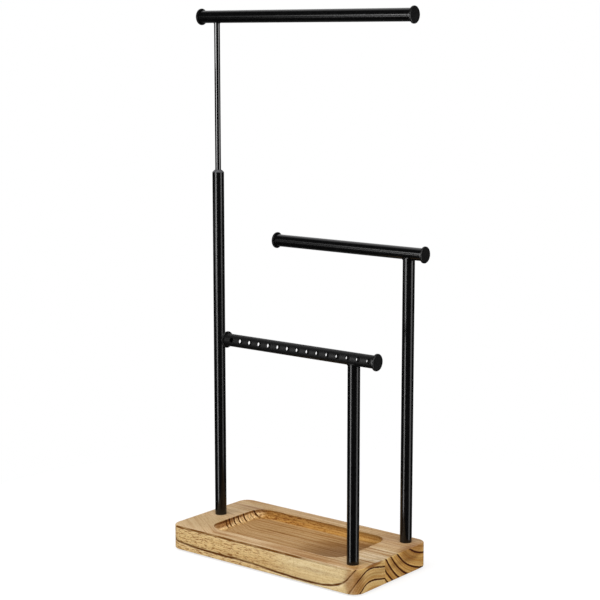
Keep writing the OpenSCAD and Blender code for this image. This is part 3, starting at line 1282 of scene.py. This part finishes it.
@dataclass
class Studio:
    """White studio: floor, world, soft boxes and camera.

    Attributes:
        view: Where the camera stands.
        middle: The stand's middle, which the lamps face, in metres.
        floor_radius: Radius of the round floor, in metres.
        floor_sides: Sides of its round.
        floor_grey: The floor's own grey.
        floor_rough: Its roughness.
        floor_glow: Strength of the white that the camera sees on it.
        floor_share: Share of that white in what the camera sees.
        ambient: Strength of the soft light all round.
        dark: Strength of the dark walls in reflections.
        lamps: The soft boxes.
        rail_lamps: First lamp of each row that draws a streak on a rail.
        rail_lamp_steps: Lamps in such a row.
        rail_lamp_fade: Share of the brightness that the next lamp keeps.
    """

    view: Viewpoint = field(default_factory=Viewpoint)
    middle: tuple[float, float, float] = (0.0, 0.0, 0.27)
    floor_radius: float = 0.45
    floor_sides: int = 96
    floor_grey: float = 0.8
    floor_rough: float = 0.9
    floor_glow: float = 1.15
    floor_share: float = 0.62
    ambient: float = 0.45
    dark: float = 0.01
    lamps: tuple[SoftBox, ...] = (
        SoftBox("overhead", Use.LIGHT, 0.0, 0.45, 1.4, (1.0, 0.8), 3.7),
        SoftBox("front_left", Use.LIGHT, -25.0, 1.1, 0.6, (0.8, 0.8), 1.9),
        SoftBox("right_fill", Use.LIGHT, 80.0, 1.1, 0.6, (0.7, 0.7), 4.0),
        SoftBox("post_panel", Use.REFLECTION, -12.5, 0.9, -0.07, (0.22, 0.46), 6.0),
        SoftBox("upper_post_panel", Use.REFLECTION, -12.5, 0.9, 0.455, (0.22, 0.59), 8.5),
        SoftBox("right_panel", Use.REFLECTION, 101.0, 0.9, -0.07, (0.36, 0.46), 1.9),
        SoftBox("upper_right_panel", Use.REFLECTION, 101.0, 0.9, 0.455, (0.36, 0.59), 3.2),
    )
    rail_lamps: tuple[SoftBox, ...] = (
        SoftBox("top_rail_lamp", Use.REFLECTION, -28.0, 0.9, 0.56, (0.08, 0.16), 8.0),
        SoftBox("middle_rail_lamp", Use.REFLECTION, -28.0, 0.9, 0.20, (0.08, 0.13), 5.5),
    )
    rail_lamp_steps: int = 4
    rail_lamp_fade: float = 0.42

    def build(self) -> None:
        """Sets up the floor, the world, the lamps and the camera."""
        self.lay_floor()
        self.light_world()
        lamps = list(self.lamps)
        for lamp in self.rail_lamps:
            lamps += lamp.row(self.rail_lamp_steps, self.rail_lamp_fade)
        for lamp in lamps:
            lamp.hang(Vector(self.middle))
        self.view.set_up()
        bpy.context.scene.view_settings.view_transform = "Standard"

    def lay_floor(self) -> None:
        """Lays a pale round floor that looks white and keeps the shadow."""
        mesh = bmesh.new()
        bmesh.ops.create_circle(mesh, cap_ends=True, segments=self.floor_sides, radius=self.floor_radius)
        data = bpy.data.meshes.new("floor")
        mesh.to_mesh(data)
        mesh.free()
        floor = bpy.data.objects.new("floor", data)
        floor.visible_glossy = False
        bpy.context.scene.collection.objects.link(floor)
        data.materials.append(self.floor_material())

    def floor_material(self) -> bpy.types.Material:
        """A matt pale grey, which the camera sees mixed with a plain white.

        Returns:
            The floor's material.
        """
        shader = Shader("white_floor")
        grey = (*[self.floor_grey] * 3, 1.0)
        shader.fix(Base_Color=grey, Roughness=self.floor_rough, Specular_IOR_Level=0.0)
        glow = shader.add("ShaderNodeEmission", (*PALE, 1.0), self.floor_glow).outputs[0]
        share = shader.product(shader.seen(), self.floor_share)
        blend = shader.add("ShaderNodeMixShader", share, shader.surface.outputs[0], glow)
        shader.feed(shader.tree.nodes["Material Output"].inputs["Surface"], blend.outputs[0])
        return shader.material

    def light_world(self) -> None:
        """Makes the world: soft light all round and a white backdrop.

        The backdrop is white to the camera. Reflections show it too, as a
        sweep that rises behind the stand and ends overhead, between dark
        walls.
        """
        world = bpy.data.worlds.new("studio")
        world.use_nodes = True
        sky = Network(world.node_tree)
        sky.tree.nodes.clear()
        direction = sky.add("ShaderNodeTexCoord").outputs["Generated"]
        behind = -heading(self.view.azimuth, 0.0)
        beside = Vector((-behind.y, behind.x, 0.0))
        aside = sky.sum("ABSOLUTE", sky.along(direction, beside))
        sweep = sky.product(
            sky.ease(sky.along(direction, behind), SWEEP_BEHIND),
            sky.ease(aside, SWEEP_BESIDE, (1.0, 0.0)),
        )
        low = sky.ease(sky.along(direction, UP), SWEEP_BELOW, SWEEP_FLOOR)
        mirrored = sky.sum("MULTIPLY_ADD", sweep, low, self.dark)
        glossy = sky.add("ShaderNodeLightPath").outputs["Is Glossy Ray"]
        strength = sky.between(sky.seen(), sky.between(glossy, self.ambient, mirrored), 1.0)
        light = sky.add("ShaderNodeBackground", (*PALE, 1.0), strength)
        sky.add("ShaderNodeOutputWorld", light.outputs[0])
        world.cycles.sampling_method = "NONE"
        bpy.context.scene.world = world


def main() -> None:
    """Builds the stand and its studio."""
    logging.basicConfig(level=logging.INFO, format="%(name)s: %(message)s")
    Studio().build()
    Board().build()
    Stand().build()


if __name__ == "__main__":
    main()
